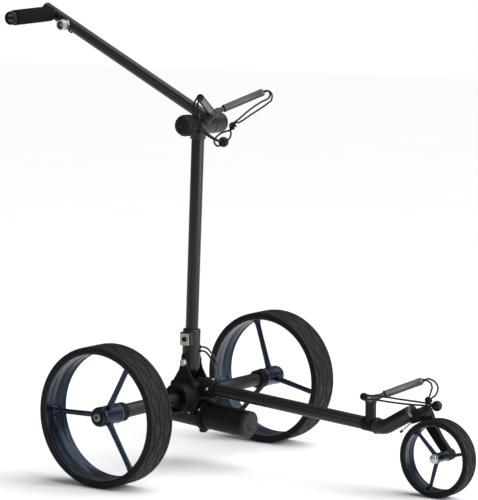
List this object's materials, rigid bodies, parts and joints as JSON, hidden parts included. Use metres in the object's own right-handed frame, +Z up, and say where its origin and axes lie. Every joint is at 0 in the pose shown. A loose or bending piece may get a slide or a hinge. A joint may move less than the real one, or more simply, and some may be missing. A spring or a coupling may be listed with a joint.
{
  "type": "golf trolley",
  "caption": "Electric golf trolley with a single-post frame, V-shaped bag rests with elastic straps, spoked wheels and a folding handle.",
  "frame": {"origin": "on the ground under the middle of the object's box", "axes": "+X forward towards the front wheel, +Y to the left, +Z up"},
  "size_m": [1.1721, 0.686, 1.0035],
  "materials": {
    "satin_black": "satin black anodised, roughness 0.42",
    "cast_black": "matte black coated casting, roughness 0.6",
    "anodised_blue": "glossy dark blue-grey anodised, roughness 0.28",
    "rubber": "matte black rubber, roughness 0.8",
    "sleeve": "semi-gloss black rubber, roughness 0.3",
    "foam": "matte black-brown foam rubber, roughness 0.9",
    "steel": "bright turned steel, roughness 0.3",
    "gold_steel": "warm silver brushed steel, roughness 0.34",
    "dark_cap": "matte dark grey plastic, roughness 0.55",
    "battery": "matte black plastic, roughness 0.48",
    "black_plastic": "matte black plastic, roughness 0.6",
    "cord": "black woven elastic cord, roughness 0.8",
    "ball": "black plastic, roughness 0.32"
  },
  "bodies": {
    "frame": {"axle_casting": "cast_black", "right_axle_tube": "satin_black", "left_axle_tube": "satin_black", "right_axle_collar": "satin_black", "left_axle_collar": "satin_black", "front_tube": "satin_black", "front_neck": "satin_black", "lower_post": "satin_black", "front_fork": "satin_black", "front_axle_bolt": "steel", "tracking_adjuster": "steel", "battery_tube": "battery", "battery_cap": "dark_cap", "battery_clamp": "cast_black", "socket_screw_top": "steel", "socket_screw_side": "steel", "pivot_bolt": "steel", "lower_cradle": "satin_black", "lower_right_arm_sleeve": "sleeve", "lower_left_arm_sleeve": "sleeve", "lower_right_strap_a": "cord", "lower_right_strap_b": "cord", "lower_strap_ball": "ball", "lower_left_strap_loop": "cord", "lower_strap_knot": "cord"},
    "upright": {"upright_sleeve": "satin_black", "upright_tube": "satin_black", "latch_plate": "gold_steel", "hinge_barrel": "satin_black", "upper_cradle": "satin_black", "upper_right_arm_sleeve": "sleeve", "upper_left_arm_sleeve": "sleeve", "upper_right_strap_a": "cord", "upper_right_strap_b": "cord", "upper_strap_ball": "ball", "upper_left_strap_loop": "cord", "upper_strap_knot": "cord", "motor_lead_front": "cord", "motor_lead_rear": "cord"},
    "handle": {"handle_barrel": "satin_black", "handle_tube": "satin_black", "grip": "foam", "accessory_socket": "steel"},
    "hinge_knob": {"hinge_knob": "ball"},
    "speed_dial": {"speed_dial": "black_plastic"},
    "latch_button": {"latch_button": "black_plastic"},
    "right_wheel": {"right_tyre": "rubber", "right_rim": "anodised_blue", "right_spider": "anodised_blue"},
    "right_release": {"right_release_button": "steel"},
    "left_wheel": {"left_tyre": "rubber", "left_rim": "anodised_blue", "left_spider": "anodised_blue"},
    "left_release": {"left_release_button": "steel"},
    "front_wheel": {"front_tyre": "rubber", "front_rim": "anodised_blue", "front_spider": "anodised_blue"}
  },
  "joints": [
    {"name": "upright_fold", "type": "hinge", "parent": "frame", "child": "upright", "pos_m": [-0.1269, 0, 0.2255], "axis": [0, 1, 0], "range_deg": [0, 70], "deforming": ["motor_lead_front", "motor_lead_rear"]},
    {"name": "handle_fold", "type": "hinge", "parent": "upright", "child": "handle", "pos_m": [-0.1051, 0, 0.747], "axis": [0, -1, 0], "range_deg": [-30, 105]},
    {"name": "hinge_knob_turn", "type": "hinge", "parent": "upright", "child": "hinge_knob", "pos_m": [-0.1051, -0.04, 0.747], "axis": [0, -1, 0], "range_deg": [0, 360]},
    {"name": "speed_dial_turn", "type": "hinge", "parent": "handle", "child": "speed_dial", "pos_m": [-0.5543, -0.09031, 0.97109], "axis": [0, -0.9987, -0.0506], "range_deg": [0, 270]},
    {"name": "latch_button_press", "type": "slide", "parent": "upright", "child": "latch_button", "axis": [0, 1, 0], "range_m": [0, 0.003], "stiffness_N_per_m": 400},
    {"name": "right_wheel_spin", "type": "hinge", "parent": "frame", "child": "right_wheel", "pos_m": [-0.1246, -0.3065, 0.15], "axis": [0, 1, 0], "continuous": true},
    {"name": "left_wheel_spin", "type": "hinge", "parent": "frame", "child": "left_wheel", "pos_m": [-0.1246, 0.3065, 0.15], "axis": [0, 1, 0], "continuous": true},
    {"name": "front_wheel_spin", "type": "hinge", "parent": "frame", "child": "front_wheel", "pos_m": [0.5044, 0.0015, 0.0817], "axis": [0, 1, 0], "continuous": true},
    {"name": "right_release_press", "type": "slide", "parent": "right_wheel", "child": "right_release", "axis": [0, 1, 0], "range_m": [0, 0.003], "stiffness_N_per_m": 500},
    {"name": "left_release_press", "type": "slide", "parent": "left_wheel", "child": "left_release", "axis": [0, -1, 0], "range_m": [0, 0.003], "stiffness_N_per_m": 500}
  ]
}
